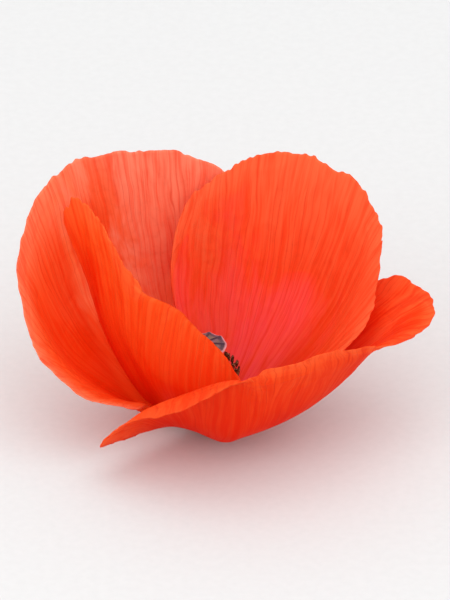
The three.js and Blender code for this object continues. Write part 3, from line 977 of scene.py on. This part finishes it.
class PoppyStamens(bpy.types.Operator):
    """Models one stamen for each ring, and copies it around the ovary with small differences"""

    bl_idname = "poppy.stamens"
    bl_label = "Stamens"

    def execute(self, context):
        settings = context.scene.poppy_centre
        base = tuple(settings.filament_color)
        filament = fresh_skin("dark_filament", base, linear("#331a24"), 0.3, 0.55, 0.02)
        anther = anther_material(tuple(settings.anther_color))
        rng = np.random.default_rng(7)
        for ring, path in enumerate(STAMEN_PATHS):
            template = stamen_template(f"stamen_template_{ring + 1}", path, settings)
            count = settings.extra_stamens if ring == 2 else STAMENS_PER_RING
            for i in range(count):
                offset = 0.25 if ring == 2 else ring / 2
                azimuth = math.tau * (i + offset + rng.uniform(-0.12, 0.12)) / count
                number = ring * STAMENS_PER_RING + i + 1
                self.place_copy(template, number, azimuth, rng, (filament, anther), ring)
            bpy.data.objects.remove(template)
        return {"FINISHED"}

    def place_copy(self, template, number, azimuth, rng, materials, ring):
        mesh = template.data.copy()
        name = f"filament_anther_{number:02d}"
        mesh.name = name
        piece = bpy.data.objects.new(name, mesh)
        bpy.context.scene.collection.objects.link(piece)
        # Each copy leans about its foot and stretches a little, in its own way.
        radius, height = STAMEN_PATHS[ring][0]
        foot = Vector((radius * MM, 0, height * MM))
        tilt = (Matrix.Translation(foot) @ Matrix.Rotation(rng.uniform(-0.05, 0.03), 4, "Y")
                @ Matrix.Rotation(rng.uniform(-0.06, 0.06), 4, "X")
                @ Matrix.Diagonal((1, 1, rng.uniform(0.93, 1.04), 1)) @ Matrix.Translation(-foot))
        mesh.transform(Matrix.Translation(AXIS) @ Matrix.Rotation(azimuth, 4, "Z") @ tilt)
        smooth(piece)
        node = [] if ring == 2 else [f"stamen_{number:02d}"]
        finish_piece(piece, "stamen", node, *materials)


# ---------------------------------------------------------------------------------------------
# Stage
# ---------------------------------------------------------------------------------------------


def pale_paper():
    """Plain pale paper: an even matt white with the faintest tooth."""
    material, tree = new_material("plain_pale_paper")
    place = add(tree, "ShaderNodeTexCoord", output="Object")
    tooth = add(tree, NOISE, {"Vector": place, "Scale": 1 / (1.5 * MM), "Detail": 2.0})
    surface = add(tree, "ShaderNodeBsdfPrincipled", {
        "Base Color": add(tree, RAMP, {0: tooth}, stops=((0.3, 0.67), (0.7, 0.69))),
        "Roughness": 0.9, "Specular IOR Level": 0.2,
    })
    add(tree, "ShaderNodeOutputMaterial", {"Surface": surface})
    return material


# The middle of the view, from the point on the stalk's axis at this height: that far to the right,
# and that far up in the view.
VIEW_BASE = 3 * MM
VIEW_RIGHT = 2.89 * MM
VIEW_UP = 17.34 * MM


def add_light(name, size, power, place, target):
    lamp = bpy.data.lights.new(name, "AREA")
    lamp.shape = "DISK"
    lamp.size = size
    lamp.energy = power
    light = bpy.data.objects.new(name, lamp)
    bpy.context.scene.collection.objects.link(light)
    light.location = place
    light.rotation_euler = (target - Vector(place)).to_track_quat("-Z", "Y").to_euler()


class PoppyStage(bpy.types.Operator):
    """Makes the pale floor, the soft studio light and the camera"""

    bl_idname = "poppy.stage"
    bl_label = "Stage"

    def execute(self, context):
        settings = context.scene.poppy_stage
        floor = start_mesh("pale_floor", bpy.ops.mesh.primitive_plane_add, size=6.0)
        floor.data.materials.append(pale_paper())
        floor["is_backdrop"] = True

        world = bpy.data.worlds.new("soft_white_room")
        context.scene.world = world
        world.use_nodes = True
        room_light = world.node_tree.nodes["Background"].inputs
        room_light["Color"].default_value = linear("#ffffff")
        room_light["Strength"].default_value = 1.05

        middle = Vector((AXIS.x, AXIS.y, CAD_HIGH.z / 2))
        add_light("overhead_softbox", 1.5, 3.9, (0.08, -0.34, 0.76), middle)
        add_light("side_fill", 0.6, 0.8, (-0.6, -0.5, 0.4), middle)

        lens = bpy.data.cameras.new("camera")
        camera = bpy.data.objects.new("camera", lens)
        context.scene.collection.objects.link(camera)
        lens.sensor_fit = "VERTICAL"
        lens.lens = lens.sensor_height * settings.distance / settings.view_height
        lens.clip_end = 20.0
        up = Vector((0, math.sin(settings.elevation), math.cos(settings.elevation)))
        back = Vector((0, -math.cos(settings.elevation), math.sin(settings.elevation)))
        target = Vector((AXIS.x + VIEW_RIGHT, AXIS.y, VIEW_BASE)) + up * VIEW_UP
        camera.location = target + back * settings.distance
        camera.rotation_euler = (math.pi / 2 - settings.elevation, 0, 0)
        context.scene.camera = camera
        context.scene.view_settings.view_transform = "Standard"
        return {"FINISHED"}


# ---------------------------------------------------------------------------------------------
# Panel and registration
# ---------------------------------------------------------------------------------------------


class PoppyPanel(bpy.types.Panel):
    """Lists the operators that build the blossom, in order"""

    bl_idname = "VIEW3D_PT_poppy"
    bl_label = "Corn poppy"
    bl_space_type = "VIEW_3D"
    bl_region_type = "UI"
    bl_category = "Poppy"

    def draw(self, context):
        for settings in (context.scene.poppy_petals, context.scene.poppy_centre,
                         context.scene.poppy_stage):
            for name in settings.__annotations__:
                self.layout.prop(settings, name)
        for operator in OPERATORS:
            self.layout.operator(operator.bl_idname)


SETTINGS = {
    "poppy_petals": PoppyPetalSettings,
    "poppy_centre": PoppyCentreSettings,
    "poppy_stage": PoppyStageSettings,
}
OPERATORS = (PoppyPetals, PoppyReceptacle, PoppyPistil, PoppyStamens, PoppyStage)


def register():
    for kind in (*SETTINGS.values(), *OPERATORS, PoppyPanel):
        bpy.utils.register_class(kind)
    for name, kind in SETTINGS.items():
        setattr(bpy.types.Scene, name, bpy.props.PointerProperty(type=kind))


def unregister():
    for name in SETTINGS:
        delattr(bpy.types.Scene, name)
    for kind in reversed((*SETTINGS.values(), *OPERATORS, PoppyPanel)):
        bpy.utils.unregister_class(kind)


def main():
    register()
    bpy.ops.poppy.petals()
    bpy.ops.poppy.receptacle()
    bpy.ops.poppy.pistil()
    bpy.ops.poppy.stamens()
    bpy.ops.poppy.stage()
    deselect_all()


if __name__ == "__main__":
    main()
